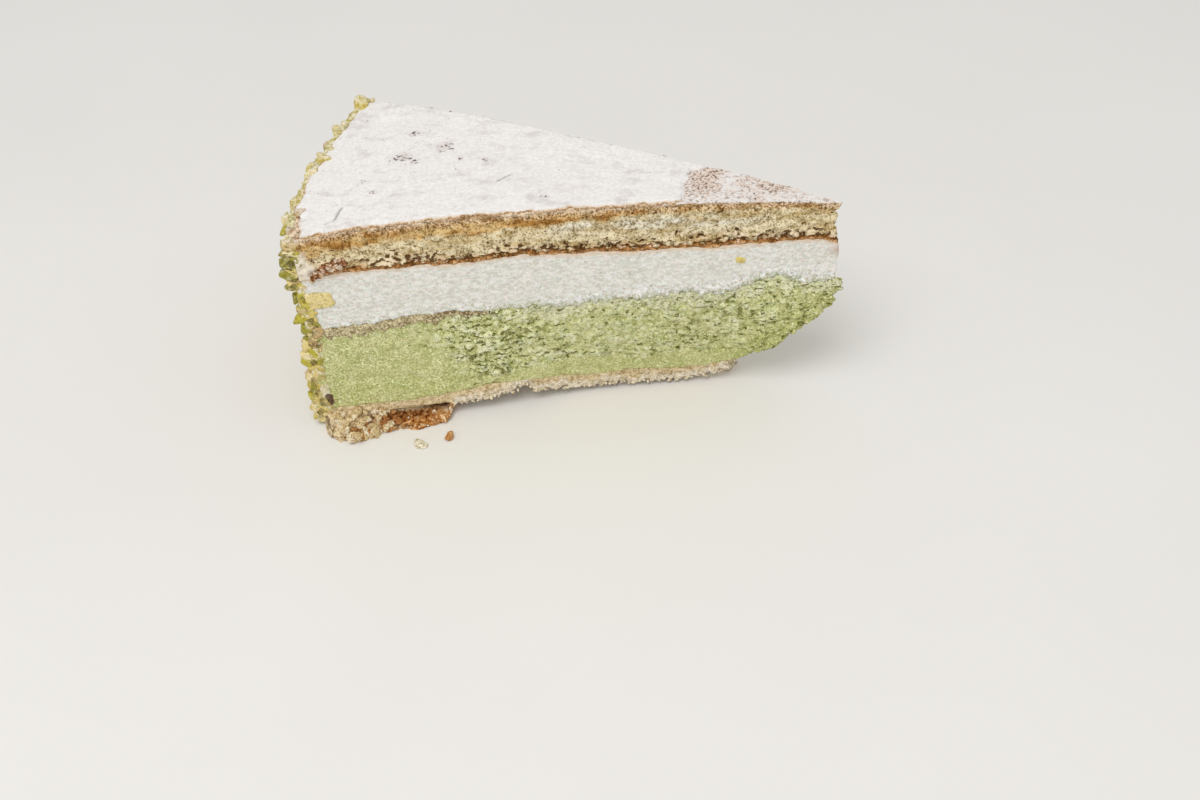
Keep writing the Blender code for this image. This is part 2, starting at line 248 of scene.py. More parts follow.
def top_height(s, v):
    """Sponge's domed top: a power curve each side of the crown, lower at the rear."""
    towards_tip = TIP_DROP * np.clip((CROWN_AT - s) / CROWN_AT, 0, 1) ** 2.5
    towards_rim = RIM_DROP * np.clip((s - CROWN_AT) / (CORE_RADIUS - CROWN_AT), 0, 1) ** 3
    rear = REAR_DROP * v * smooth_step(0, 60, s)
    return CROWN_HEIGHT - towards_tip - towards_rim - rear


def plan(s, v):
    """Places seen from above, for noise that runs through the food."""
    angle = v * WEDGE_ANGLE
    return np.stack((s * np.cos(angle), s * np.sin(angle)), axis=1)


def sponge_underside(s, v):
    """Its outline, with waves 6 mm wide."""
    return outline(SPONGE_UNDERSIDE, s) + 0.35 * fractal(plan(s, v), 6.0, 3, 3)


def ricotta_underside(s, v):
    """Its outline, with waves that grow towards the tip, and small lumps in the inner two thirds."""
    towards_tip = smooth_step(60, 25, s)
    places = plan(s, v)
    broad = (0.3 + 0.5 * towards_tip) * fractal(places, 5.0, 4, 5)
    return outline(RICOTTA_UNDERSIDE, s) + broad + 0.45 * smooth_step(86, 76, s) * fractal(places, 0.9, 2, 6)


def pistachio_underside(s, v):
    """Its outline, with waves, and near the tip ridges hanging down, as a noise's absolute value makes them."""
    torn = smooth_step(28, 20, s)
    places = plan(s, v)
    ragged = (0.35 + 1.0 * torn) * fractal(places, 5.0, 4, 7) - 0.9 * torn * np.abs(fractal(places, 1.6, 2, 8))
    return outline(PISTACHIO_UNDERSIDE, s) + ragged


def pistachio_top(s, v):
    """Underside of the ricotta, less the crumb line where there is one."""
    seam = crumb_thickness(s, v) * smooth_step(CRUMB_INNER_END - 0.5, CRUMB_INNER_END, s)
    return ricotta_underside(s, v) - seam


def base_underside(s, v):
    """Ragged front edge, with fine teeth up to where the browned piece begins, and flat on the floor behind."""
    teeth = 1.5 * np.abs(fractal(plan(s, v * 0), 1.5, 3, 61)) * smooth_step(95, 92, s)
    return (read_off(BASE_FRONT_EDGE, s) + teeth) * (1.0 - smooth_step(*UNDERSIDE_RETURN, v))


def crumb_thickness(s, v):
    """Thickness of the crumb line, uneven, fading out inwards."""
    fade = smooth_step(CRUMB_INNER_END, CRUMB_INNER_END + 22, s)
    uneven = 1.0 + 0.5 * fractal(plan(s, v), 1.6, 3, 9)
    return (CRUMB_THIN_END + (CRUMB_THICKNESS - CRUMB_THIN_END) * fade) * uneven


def lean(s, z):
    """How far the front cut stands back at this height, in the middle stretch of the slice."""
    reach = smooth_step(*LEAN_OUTER, s) * smooth_step(*LEAN_TIP, s)
    return LEAN_DEPTH * reach * np.clip((LEAN_TOP - z) / LEAN_TOP, 0.0, 1.0)


def lump_height(s):
    """Height at which the crusty piece meets the front cut."""
    return read_off(LUMP_HEIGHTS, s)


def split_depth(s, z):
    """1 in the split along the top of the crusty piece."""
    start, end = SPLIT_SPAN
    along = smooth_step(start, start + SPLIT_FADE, s) * smooth_step(end, end - SPLIT_FADE, s)
    along *= 0.35 + 0.65 * smooth_step(104.0, 98.0, s)
    return along * bump_at(z, lump_height(s) + 0.2, SPLIT_HALF_WIDTH)


def lump_out(s, z):
    """Reach of the crusty bottom piece out of the front cut, sloping down from where it meets the cut."""
    height = lump_height(s)
    reach = read_off(LUMP_REACH, s) * (1.0 - smooth_step(0.2 * height, height, z))
    return reach - SPLIT_DEPTH * split_depth(s, z)


def flared(s, z):
    """s moved outwards near the wall, which leans out towards the floor."""
    return s + CORE_FLARE * smooth_step(*CORE_FLARE_HEIGHTS, z) * smooth_step(100.0, CORE_RADIUS, s)


def slice_points(s, v, z, front_out=0.0):
    """Polar points of the wedge, pushed out of the front cut in proportion to their nearness to it."""
    angle = (v - 0.5) * WEDGE_ANGLE
    tip = TIP_REACH * np.exp(-s / TIP_REACH_FADE)
    points = np.stack((tip - s * np.cos(angle), s * np.sin(angle), z), axis=1)
    return points + np.outer((1.0 - v) * front_out, FRONT_NORMAL)


def carved(points, s, v, relief):
    """Points raised out of both cuts by the relief: in full on the cut, gone 2 mm in, and less near the tip."""
    near_tip = smooth_step(0.0, 7.0, s)
    front = np.exp(-s * np.sin(v * WEDGE_ANGLE) / RELIEF_FADE) * near_tip
    rear = np.exp(-s * np.sin((1.0 - v) * WEDGE_ANGLE) / RELIEF_FADE) * near_tip
    return points + (np.outer(front * relief, FRONT_NORMAL) + np.outer(rear * relief, REAR_NORMAL))


def cut_plane(s, v, z):
    """Places on the cut faces, for patterns in two dimensions; the rear cut reads another stretch."""
    return np.stack((s + 300.0 * (v > 0.5), z), axis=1)


def box_lattice(counts):
    """Grid points and quads of the six sides of a box with these numbers of cells, joined along its edges.

    A point's key counts it in the full lattice. The quads run anticlockwise seen from outside.
    """
    steps = ((counts[1] + 1) * (counts[2] + 1), counts[2] + 1, 1)
    sides = []
    for axis in range(3):
        a, b = (axis + 1) % 3, (axis + 2) % 3
        first, second = np.meshgrid(np.arange(counts[a]), np.arange(counts[b]), indexing="ij")
        corner = first * steps[a] + second * steps[b]
        square = np.stack((corner, corner + steps[a], corner + steps[a] + steps[b], corner + steps[b]), axis=-1)
        square = square.reshape(-1, 4)
        sides.append(square[:, ::-1])
        sides.append(square + counts[axis] * steps[axis])
    keys, quads = np.unique(np.concatenate(sides), return_inverse=True)
    lattice = (keys // steps[0], keys % steps[0] // steps[1], keys % steps[1])
    return lattice, quads.reshape(-1, 4)


def layer_lattice(cells, inner):
    """Shell of a layer: s from the wall to inner, v with its lines closer together near both cuts, w even."""
    (i, j, k), quads = box_lattice(cells)
    s = CORE_RADIUS + (inner - CORE_RADIUS) * i / cells[0]
    v = 0.5 - 0.5 * np.cos(math.pi * j / cells[1])
    return s, v, k / cells[2], quads


def layer_shell(cells, inner, underside, top):
    """Lattice of a layer, the heights of its two faces, z between them in proportion to w, places on the cuts."""
    s, v, w, quads = layer_lattice(cells, inner)
    low, high = underside(s, v), top(s, v)
    z = low + (high - low) * w
    return s, v, w, quads, low, high, z, cut_plane(s, v, z)


def make_piece(name, points, faces, material, slot, replaced=(), **attributes):
    """Smooth-shaded mesh object from points in slice millimetres; attributes are numbers at its points."""
    mesh = bpy.data.meshes.new(name)
    placed = (points + np.array((TIP_X, TIP_Y, 0.0))) * MM
    mesh.from_pydata(placed, [], faces)
    for key, values in attributes.items():
        mesh.attributes.new(key, "FLOAT", "POINT").data.foreach_set("value", values.astype(np.float32))
    mesh.polygons.foreach_set("use_smooth", np.ones(len(mesh.polygons), dtype=bool))
    mesh.materials.append(material)
    mesh.update()
    piece = bpy.data.objects.new(name, mesh)
    bpy.context.scene.collection.objects.link(piece)
    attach(piece, "root")
    for node in replaced:
        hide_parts(node)


# The layers

def make_sponge(material):
    """Sponge under the sugar.

    Relief of the cut faces: fine grain, and pits in rows above the browned lower skin, where a noise is low. At
    the tip the crumb stands back between the two skins. At the outer end cream is smeared over its lower half.
    under and over are the distances below the top and above the underside, 1 at 10 mm. golden is 1 in the yellower
    upper crumb, pale is 1 in a paler stretch of its middle, rows is 1 where pores lie close together, dusted is how
    much sugar hides the top, smeared is 1 under the cream.
    """
    s, v, w, quads, low, high, z, face = layer_shell(SPONGE_CELLS, TIP_RADIUS, sponge_underside, top_height)
    wobble = fractal(face, 3.5, 3, 21)
    over = z - low
    under = high - z

    rows = smooth_step(4.2, 2.4, over + 1.2 * wobble) * smooth_step(0.6, 1.1, over)
    pits = (0.25 + 0.75 * rows) * smooth_step(-0.2, -0.7, fractal(face * (0.7, 1.0), 1.4, 2, 22))
    smeared = smooth_step(118.5, 121.5, s + 1.2 * wobble) * smooth_step(55.5, 51.5, z + 1.5 * wobble) * (v < 0.5)
    depth = read_off(GOLDEN_DEPTH, s)
    golden = smooth_step(depth + 1.4, depth - 1.4, under + wobble) * (0.6 + 0.4 * smooth_step(35, 62, s))
    pale = bump_at(under + 0.8 * wobble, 5.0, 1.5) * smooth_step(70, 58, s) * smooth_step(5, 35, s)
    relief = 0.22 * fractal(face, 1.2, 3, 27) + 0.3 * wobble - 0.8 * pits + 0.4 * smeared
    points = carved(slice_points(s, v, z), s, v, relief)
    from_above = plan(s, v)
    points[:, 2] += 0.10 * fractal(from_above, 1.2, 3, 29) * smooth_step(1.0, 0.0, under)
    between_skins = smooth_step(0.8, 2.2, under) * smooth_step(0.9, 1.9, over)
    points[:, 0] += np.exp(-s / 2.5) * (0.9 * fractal(face[:, 1:], 1.3, 3, 30) - 0.7 * between_skins)

    behind = s * np.sin(v * WEDGE_ANGLE)
    boundary = SUGAR_END_FRONT + (SUGAR_END_REAR - SUGAR_END_FRONT) * v
    bare = 0.36 * bump_at(s, boundary - 2.0, 3.0) * smooth_step(0.15, 0.5, v)
    cover = 0.42 + 0.16 * bump_at(s, 24.0, 4.0) - bare
    cover += 0.12 * smooth_step(2.2, 0.4, behind) + 0.15 * smooth_step(11.0, 5.0, s)
    cover += 0.22 * fractal(from_above, 3.0, 3, 28) - 0.32 * bump_at(s, 15.0, 4.0) * smooth_step(0.45, 0.8, v)
    make_piece("sponge_slice", points, quads, material, "sponge_crumb", ("top_sponge",),
               under=under / 10.0, over=over / 10.0, golden=golden, pale=pale, rows=rows * (w < 0.999),
               smeared=smeared, dusted=np.clip(cover, 0.1, 1.0) * (w > 0.999) * smooth_step(42, 38, s))


def make_ricotta(material):
    """Ricotta cream: shallow smears left by the knife, small lumps along its lower edge.

    lumpy is 1 among those lumps, mixed is 1 where its lower edge is worked into the pistachio cream, stained is 1
    against the sponge's crust, brown_end is 1 in a brown mark on the tip.
    """
    s, v, _, quads, low, high, z, face = layer_shell(RICOTTA_CELLS, TIP_RADIUS, ricotta_underside,
                                                     sponge_underside)
    smears = fractal(warped(face, 6.0, 1.0, 31) * (0.6, 1.0), 2.8, 4, 32)
    inwards = smooth_step(82, 50, s)
    lumps = smooth_step(3.5 + 2.5 * inwards, 0.5, z - low + fractal(face, 4.0, 2, 33)) * (0.45 + 0.55 * inwards)
    relief = 0.07 * smears + 0.06 * fractal(face, 0.9, 2, 34) + 0.42 * lumps * fractal(face, 1.2, 3, 35)
    points = carved(slice_points(s, v, z), s, v, relief)
    points[:, 0] += np.exp(-s / 2.5) * 0.6 * fractal(face[:, 1:], 2.2, 3, 36)
    mixed = smooth_step(2.6, 0.0, z - low) * (0.3 + 0.7 * smooth_step(88, 76, s))
    make_piece("ricotta_layer", points, quads, material, "ricotta_cream", ("ricotta_cream",), lumpy=lumps,
               mixed=mixed, stained=smooth_step(1.5, 0.0, high - z),
               brown_end=np.exp(-s / 1.5) * bump_at(z, 43.5, 1.2))


def make_crumb_line(material):
    """Thin line of soaked crumbs under the ricotta. browned is 1 where its crust is darker."""
    s, v, w, quads = layer_lattice(CRUMB_LINE_CELLS, CRUMB_INNER_END)
    high = ricotta_underside(s, v)
    z = high - crumb_thickness(s, v) * (1.0 - w)
    face = cut_plane(s, v, z)
    relief = 0.15 + 0.4 * fractal(face, 0.9, 3, 37)
    points = carved(slice_points(s, v, z), s, v, relief)
    browned = smooth_step(-0.2, 0.4, fractal(face * (0.5, 1.0), 3.0, 3, 38)) * smooth_step(112, 104, s) * w
    make_piece("crumb_seam", points, quads, material, "sponge_crumb", ("crumb_line",), browned=browned)


def make_pistachio(material):
    """Pistachio cream.

    Near the outer wall the knife left it smooth. Inwards it broke up into lumps 1.7 mm across, drawn out along
    the cut and rounded as the absolute value of a noise, with creases where that is zero, and small pits in
    clusters. A long crevice parts off its smoother lower third, and a short fold marks the tip. There it is torn
    in folds that run along its sloping underside. broken is 1 among the lumps, crease is 1 deep in creases and
    pits, where olive is painted as their shade, high runs from 0 in hollows to 1 on lumps and is lower at the tip,
    for painted light on the lumps and painted shade in the hollows and on the tip, haze is 1 where ricotta smeared
    over it, foot is 1 against the biscuit, smooth_part is 1 in the lower third, torn is 1 in the folds at the tip,
    where painted shade darkens them.
    """
    s, v, _, quads, low, high, z, face = layer_shell(PISTACHIO_CELLS, TIP_RADIUS, pistachio_underside,
                                                     pistachio_top)
    wobble = fractal(face, 5.0, 3, 41)
    bent = warped(face, 2.5, 0.7, 42)

    crevice_height = 12.5 + 1.3 * fractal(face[:, :1], 9.0, 2, 49)
    above = smooth_step(crevice_height - 0.6, crevice_height + 0.6, z)
    worked = 0.65 + 0.15 * bump_at(s, 80, 13) + 0.1 * bump_at(s, 24, 18)
    broken = smooth_step(106, 84, s + 8 * wobble) * worked * (0.25 + 0.75 * above + 0.4 * bump_at(s, 86, 10))
    broken = np.clip(np.maximum(broken, 0.8 * smooth_step(24, 18, s)), 0.0, 1.0)
    clusters = smooth_step(-0.4, 0.5, fractal(bent * (0.6, 1.0), 4.5, 2, 45))
    lumps = np.abs(fractal(bent * (0.7, 1.0), 1.7, 2, 47))
    pits = broken * clusters * smooth_step(-0.45, -0.75, fractal(face * (0.75, 1.0), 1.2, 2, 44))
    crevice = bump_at(z, crevice_height, 0.35) * smooth_step(68, 58, s) * smooth_step(17, 24, s)
    crevice *= smooth_step(-0.3, 0.2, fractal(face[:, :1], 4.0, 2, 48))
    fold = bump_at(z, 23.3 - 0.35 * np.clip(s - 12.0, 0.0, 9.0), 0.4)
    fold = fold * smooth_step(6, 9, s) * smooth_step(21, 17, s)
    torn = smooth_step(28, 18, s) * smooth_step(11, 4, z - low)
    slope = np.stack(((0.73 * s - 0.68 * z) / 3.5, 0.68 * s + 0.73 * z), axis=1)
    folds = np.abs(fractal(slope, 1.7, 2, 54))
    rounded = (1.0 - torn) * lumps + torn * folds
    # Mask for the olive painted shade in the creases, pits, crevice and fold
    crease = broken * (0.4 + 0.6 * clusters) * smooth_step(0.12, 0.02, rounded)
    crease = np.clip(crease + pits + 0.7 * crevice + 0.7 * fold, 0.0, 1.0)
    relief = 0.25 * wobble + 0.12 * fractal(face, 0.8, 2, 51) + broken * (0.9 * np.minimum(rounded, 0.7) - 0.3)
    relief -= 0.6 * pits + 0.4 * crevice + 0.5 * fold

    points = carved(slice_points(flared(s, z), v, z, -lean(s, z)), s, v, relief)
    nose = NOSE_LENGTH * np.exp(-((z - NOSE_HEIGHT) / NOSE_SPREAD) ** 2 - s / NOSE_FADE)
    strands = 1.3 * fractal(face[:, 1:], 1.4, 3, 53) * np.exp(-s / 2.5)
    points[:, 0] += nose + strands
    haze = smooth_step(6.0, 0.0, high - z + 1.5 * wobble) * smooth_step(84, 66, s)
    make_piece("pistachio_layer", points, quads, material, "pistachio_cream", ("pistachio_cream",),
               broken=broken, crease=crease, haze=haze, torn=torn, smooth_part=1.0 - above,
               # Painted light on the lumps, painted shade in the hollows and within 17 mm of the tip
               high=np.clip(0.5 + broken * (rounded - 0.35) - 0.35 * smooth_step(17, 8, s), 0, 1),
               foot=smooth_step(1.8, 0.0, z - low) * (s > BASE_INNER_END))


def make_base(material):
    """Bottom biscuit with its ragged front edge, and the crusty piece left at the outer end.

    lump is 1 on all of that piece, crust on its browned part, which widens inwards, and tan_end on its lighter
    inner end, partly painted light. gap is 1 deep in cracks, in the split and on the crust's top under it, where
    dark brown is painted as shade; pale is 1 along the torn lower edge.
    """
    s, v, _, quads, low, _, z, face = layer_shell(BASE_CELLS, BASE_INNER_END, base_underside, pistachio_underside)
    bent = warped(face, 3.0, 0.8, 62)
    at_front = smooth_step(0.5, 0.3, v)
    height = lump_height(s)
    in_lump = at_front * smooth_step(93.5, 95.0, s) * smooth_step(height + 0.2, height - 0.3, z)
    rough = fractal(bent * (0.7, 1.0), 2.0, 3, 64)
    creases = smooth_step(0.14, 0.02, np.abs(rough)) * in_lump
    relief = 0.2 * fractal(face, 1.3, 3, 65) + in_lump * (0.9 * np.abs(rough) - 0.3) - 0.15 * creases
    points = carved(slice_points(flared(s, z), v, z, lump_out(s, z) - lean(s, z)), s, v, relief)
    points[:, 0] += np.exp((BASE_INNER_END - s) / 1.5) * (0.8 * fractal(face[:, 1:], 1.6, 3, 66) - 0.4)
    border = np.clip((s - 99.0) / 13.0, 0.0, 1.0) * 1.2
    crust = in_lump * smooth_step(border - 0.4, border + 0.4, z + 0.5 * rough) * smooth_step(114, 112, s)
    # Painted shade: dark brown in cracks, in the split and on the crust's top under it
    gap = np.maximum(0.7 * creases, at_front * split_depth(s, z))
    gap = np.maximum(gap, 0.6 * crust * smooth_step(height - 1.5, height - 0.3, z) * smooth_step(97, 103, s))
    make_piece("biscuit_base", points, quads, material, "biscuit", ("base_biscuit",), crust=crust, gap=gap,
               lump=in_lump, tan_end=crust * smooth_step(101, 96, s),
               pale=smooth_step(3.4, 1.2, z - low + 0.8 * rough) * (1.0 - in_lump))


def make_sugar(material):
    """Icing sugar lying on the dome, uneven in depth, ragged along its edges, spilling over the rim.

    thin is 1 where the layer is thin, edge rises to 1 at the front cut and at the rim, crack is 1 in two fine
    curved cracks.
    """
    s, v, w, quads = layer_lattice(SUGAR_CELLS, SUGAR_END_FRONT)
    end = SUGAR_END_FRONT + (SUGAR_END_REAR - SUGAR_END_FRONT) * v + 1.4 * fractal(plan(s, v), 4.0, 4, 71)
    outer = CORE_RADIUS + 0.6 - 2.2 * smooth_step(0.22, 0.05, v) - 0.8 * fractal(plan(s, v), 2.2, 3, 72)
    s = outer - (outer - end) * (CORE_RADIUS - s) / (CORE_RADIUS - SUGAR_END_FRONT)
    from_above = plan(s, v)
    along, behind = from_above.T
    grain = fractal(from_above, 1.3, 3, 75)
    thin = np.zeros(len(s))
    for spot_along, spot_behind, width in THIN_SPOTS:
        distance = np.hypot(along - spot_along, 1.3 * (behind - spot_behind)) + 1.0 * grain
        thin = np.maximum(thin, smooth_step(1.3 * width, 0.0, distance))
    crack = np.zeros(len(s))
    for line in CRACKS:
        inside = (behind > line[0][0]) * (behind < line[-1][0])
        crack = np.maximum(crack, bump_at(along, read_off(line, behind), 0.28) * inside)
    to_front = s * np.sin(v * WEDGE_ANGLE)
    to_rear = s * np.sin((1.0 - v) * WEDGE_ANGLE)
    to_edge = np.minimum(np.minimum(to_front, to_rear), np.minimum(outer - s, s - end))
    drifts = fractal(from_above * (0.7, 1.0), 6.0, 4, 73)
    depth = SUGAR_THICKNESS * (0.9 + 0.28 * drifts) + 0.07 * grain - 0.3 * crack
    depth *= 0.35 + 0.65 * smooth_step(0.0, 1.2, to_edge)
    z = top_height(s, v) - 0.05 + np.clip(depth, 0.12, None) * w
    back = -0.25 + 0.6 * fractal(from_above, 1.5, 3, 79)
    points = carved(slice_points(s, v, z), s, v, back)
    make_piece("sugar_layer", points, quads, material, "icing_sugar", ("icing_sugar",), thin=thin, crack=crack,
               edge=smooth_step(0.9, 0.0, np.minimum(to_front, outer - s)))


def coat_radius(z):
    """Outer radius of the cream skin, thicker towards the foot."""
    wall = CORE_RADIUS + CORE_FLARE * smooth_step(*CORE_FLARE_HEIGHTS, z)
    return wall + SKIN_GAP + COAT_THICKNESS + FOOT_FLARE * smooth_step(FOOT_FLARE_HEIGHT, 0.0, z)


def make_coat(material):
    """Thin cream skin round the outer wall, lumpy where nuts are pressed in."""
    (i, j, k), quads = box_lattice(COAT_CELLS)
    v = j / COAT_CELLS[1]
    z = COAT_FOOT + (COAT_TOP - COAT_FOOT) * k / COAT_CELLS[2]
    around = np.stack((CORE_RADIUS * WEDGE_ANGLE * v, z), axis=1)
    outer = coat_radius(z) - 0.6 + 0.45 * fractal(around, 3.0, 3, 81)
    s = outer + (CORE_RADIUS - outer) * i / COAT_CELLS[0]
    make_piece("cream_coat", slice_points(s, v, z, COAT_PAST_CUT), quads, material, "ricotta_cream")


def sphere_faces(detail):
    """Unit directions and triangles of an icosphere, its faces cut in four for each step of detail."""
    golden = (1 + math.sqrt(5)) / 2
    corners = []
    for a, b in itertools.product((-1, 1), (-golden, golden)):
        corners += [(0, a, b), (a, b, 0), (b, 0, a)]
    corners = np.array(corners)
    corners = corners / np.linalg.norm(corners, axis=1)[:, None]
    reach = 1.1 * 2 / math.sqrt(golden * math.sqrt(5))
    faces = []
    for a, b, c in itertools.combinations(range(12), 3):
        trio = corners[[a, b, c]]
        if max(np.linalg.norm(trio - np.roll(trio, 1, axis=0), axis=1)) < reach:
            outward = np.linalg.det(trio) > 0
            faces.append((a, b, c) if outward else (a, c, b))
    faces = np.array(faces)
    for _ in range(detail):
        edges = np.sort(np.concatenate((faces[:, [0, 1]], faces[:, [1, 2]], faces[:, [2, 0]])), axis=1)
        pairs, index = np.unique(edges, axis=0, return_inverse=True)
        middles = corners[pairs].sum(axis=1)
        middles /= np.linalg.norm(middles, axis=1)[:, None]
        ab, bc, ca = (index.ravel() + len(corners)).reshape(3, -1)
        a, b, c = faces.T
        quarters = ((a, ab, ca), (ab, b, bc), (ca, bc, c), (ab, bc, ca))
        faces = np.concatenate([np.stack(quarter, axis=1) for quarter in quarters])
        corners = np.concatenate((corners, middles))
    return corners, faces


def chopped_shapes(count, detail, planes, seed):
    """Chopped bits: in each direction the reach to the nearest of some random planes round the centre.

    Each is stretched and turned at random. Gives an array of shape (count, points, 3) for bits about 1 in radius,
    and the faces of one bit.
    """
    draw = np.random.default_rng(seed)
    directions, faces = sphere_faces(detail)
    normals = draw.normal(size=(count, planes, 3))
    normals /= np.linalg.norm(normals, axis=2)[:, :, None]
    offsets = draw.uniform(0.5, 0.9, (count, planes))
    facing = np.einsum("pd,cnd->cpn", directions, normals)
    reach = np.where(facing > 0.05, offsets[:, None, :] / np.maximum(facing, 0.05), 9.0).min(axis=2)
    reach = np.minimum(reach, 1.3)
    stretched = directions[None] * reach[:, :, None] * draw.uniform(0.65, 1.3, (count, 1, 3))
    turns = np.linalg.qr(draw.normal(size=(count, 3, 3)))[0]
    turns *= np.sign(np.linalg.det(turns))[:, None, None]
    return np.einsum("cpd,cde->cpe", stretched, turns), faces


def join_bits(shapes, faces, centres, radii):
    """All bits as one list of points and faces."""
    points = shapes * radii[:, None, None] + centres[:, None, :]
    count, corners = points.shape[:2]
    joined = (faces[None] + (np.arange(count) * corners)[:, None, None]).reshape(-1, 3)
    return points.reshape(-1, 3), joined


def cut_flush(points, proud):
    """Press points that stand out of either cut plane back to it, as the knife cut them."""
    for normal in (FRONT_NORMAL, REAR_NORMAL):
        over = points @ normal - proud
        points = points - np.outer(np.clip(over, 0.0, None), normal)
    return points


def wall_batch(draw, count, smallest, largest):
    """Bits spread over the wall on a jittered grid: v, radius of the place, height and size of each."""
    wall = COAT_TOP - COAT_FOOT
    columns = round(math.sqrt(count * CORE_RADIUS * WEDGE_ANGLE / wall))
    rows = count // columns
    column, row = [grid.ravel() for grid in np.meshgrid(np.arange(columns), np.arange(rows))]
    jitter = draw.uniform(-0.45, 0.45, (2, rows * columns))
    z = COAT_FOOT + wall * (row + 0.5 + jitter[1]) / rows
    return (column + 0.5 + jitter[0]) / columns, coat_radius(z) + draw.uniform(-0.9, 0.2, len(z)), z, \
        draw.uniform(smallest, largest, len(z))


def edge_batch(draw, spacing, smallest, largest):
    """Bits in a close row along each cut, where the knife went through them."""
    rows = round((COAT_TOP - COAT_FOOT) / spacing)
    z = COAT_FOOT + (COAT_TOP - COAT_FOOT) * (np.tile(np.arange(rows), 2) + 0.5) / rows
    z += draw.uniform(-0.6, 0.6, 2 * rows)
    distance = coat_radius(z) + draw.uniform(-2.7, -0.7, 2 * rows)
    return np.repeat((0.004, 0.996), rows), distance, z, draw.uniform(smallest, largest, 2 * rows)


def rim_batch(draw, count, smallest, largest):
    """Bits along the top rim, partly on the sugar's edge."""
    v = (np.arange(count) + draw.uniform(0.1, 0.9, count)) / count
    distance = CORE_RADIUS + draw.uniform(-1.4, 1.6, count)
    return v, distance, top_height(0 * v + CORE_RADIUS, v) + draw.uniform(-0.9, 0.1, count), \
        draw.uniform(smallest, largest, count)


def make_nuts(material):
    """Chopped pistachios on the outer wall, and larger ones at their own places along the front edge and rim.

    tone picks a bit's colour, dust is 1 on top of the bits at the rim, where sugar fell on them.
    """
    draw = np.random.default_rng(83)
    batches = [(*wall_batch(draw, 120, 1.4, 2.2), 2, 10), (*wall_batch(draw, 420, 0.8, 1.4), 1, 9),
               (*wall_batch(draw, 900, 0.4, 0.8), 0, 9), (*edge_batch(draw, 2.4, 1.0, 2.1), 2, 9),
               (*edge_batch(draw, 1.1, 0.7, 1.2), 1, 8), (*rim_batch(draw, 30, 0.5, 1.1), 1, 9)]
    v, distance, z, radii, own_tones = np.array(CHOSEN_NUTS).T
    batches.append((v, distance, z, radii, 2, 9))
    all_points, all_faces, all_tones, all_dust = [], [], [], []
    start = 0
    for number, (v, distance, z, radii, detail, planes) in enumerate(batches):
        z = np.maximum(z, COAT_FOOT + radii * 0.9)
        angle = (v - 0.5) * WEDGE_ANGLE
        centres = np.stack((-distance * np.cos(angle), distance * np.sin(angle), z), axis=1)
        shapes, faces = chopped_shapes(len(v), detail, planes, 85 + number)
        points, joined = join_bits(shapes, faces, centres, radii)
        points = cut_flush(points, NUTS_PAST_CUT)
        points[:, 2] = np.maximum(points[:, 2], LOWEST_NUT)
        corners = shapes.shape[1]
        tones = own_tones if number == len(batches) - 1 else 0.82 * draw.uniform(0, 1, len(v)) ** 1.4
        rise = (points[:, 2] - np.repeat(z, corners)) / np.repeat(radii, corners)
        all_points.append(points)
        all_faces.append(joined + start)
        all_tones.append(np.repeat(tones, corners))
        all_dust.append(0.6 * smooth_step(0.0, 0.8, rise) * smooth_step(54.0, 58.0, points[:, 2]))
        start += len(points)
    make_piece("chopped_pistachios", np.concatenate(all_points), np.concatenate(all_faces), material,
               "pistachio_nut", ("nut_coat",), tone=np.concatenate(all_tones), dust=np.concatenate(all_dust))


def on_front(s, out, z):
    """Points given from the tip along the front cut, out of it and above the floor."""
    along = np.array((-math.cos(HALF_ANGLE), -math.sin(HALF_ANGLE), 0.0))
    return np.outer(s, along) + np.outer(out, FRONT_NORMAL) + np.outer(z, (0.0, 0.0, 1.0))


def make_crumbs(name, material, slot, s, out, z, radii, tones, detail, seed, flatness=1.0):
    """Broken bits on or before the front cut, as one piece, each knobbly and with its own tone."""
    shapes, faces = chopped_shapes(len(s), detail, 6, seed)
    apart = np.repeat(7.0 * np.arange(len(s)), shapes.shape[1])[:, None]
    knobs = fractal(shapes.reshape(-1, 3) + apart, 0.8, 2, seed)
    shapes *= 1.0 + 0.18 * knobs.reshape(len(s), -1, 1)
    shapes[:, :, 2] *= flatness
    points, joined = join_bits(shapes, faces, on_front(s, out, z), radii)
    points[:, 2] = np.maximum(points[:, 2], LOWEST_CRUMB)
    make_piece(name, points, joined, material, slot, tone=np.repeat(tones, shapes.shape[1]))


def make_base_crumbs(material):
    """Crumbs broken from the base: a heap at its outer end, some on the crusty piece and along the torn edge."""
    draw = np.random.default_rng(91)
    drawn = [[draw.uniform(*limits, count) for limits in kind] for count, *kind in BASE_CRUMBS]
    s, radii, z, tones = [np.concatenate(group) for group in zip(*drawn)]
    z += read_off(BASE_FRONT_EDGE, s)
    out = lump_out(s, z) - lean(s, z) + 0.05
    make_crumbs("base_crumbs", material, "biscuit", s, out, np.maximum(z, radii * 0.7), radii, tones, 2, 93)


def make_curled_crust(material):
    """Knot of dark crust at the sponge's outer lower corner, hanging over the ricotta."""
    draw = np.random.default_rng(95)
    count = 80
    along = draw.uniform(0.0, 1.0, count) ** 1.3
    across = draw.uniform(-1.0, 1.0, count)
    s = 119.8 - 7.0 * along + 0.8 * across
    z = 47.0 + 4.0 * np.sqrt(along) + draw.uniform(-1.1, 1.1, count)
    make_crumbs("curled_crust", material, "sponge_crumb", s, draw.uniform(0.0, 0.45, count), z,
                draw.uniform(0.3, 0.75, count), draw.uniform(0.0, 0.6, count), 2, 97)


def make_loose_crumbs(material):
    """Two crumbs lying in front of the slice: a flat pale one and a browned one."""
    s = np.array((103.0, 102.2, 95.4, 95.0))
    out = np.array((9.7, 9.9, 8.0, 7.6))
    z = np.array((0.4, 0.3, 0.6, 1.0))
    make_crumbs("loose_crumbs", material, "biscuit", s, out, z, np.array((1.7, 1.3, 1.0, 0.9)),
                np.array((0.6, 0.6, 0.78, 0.72)), 2, 99, 0.6)


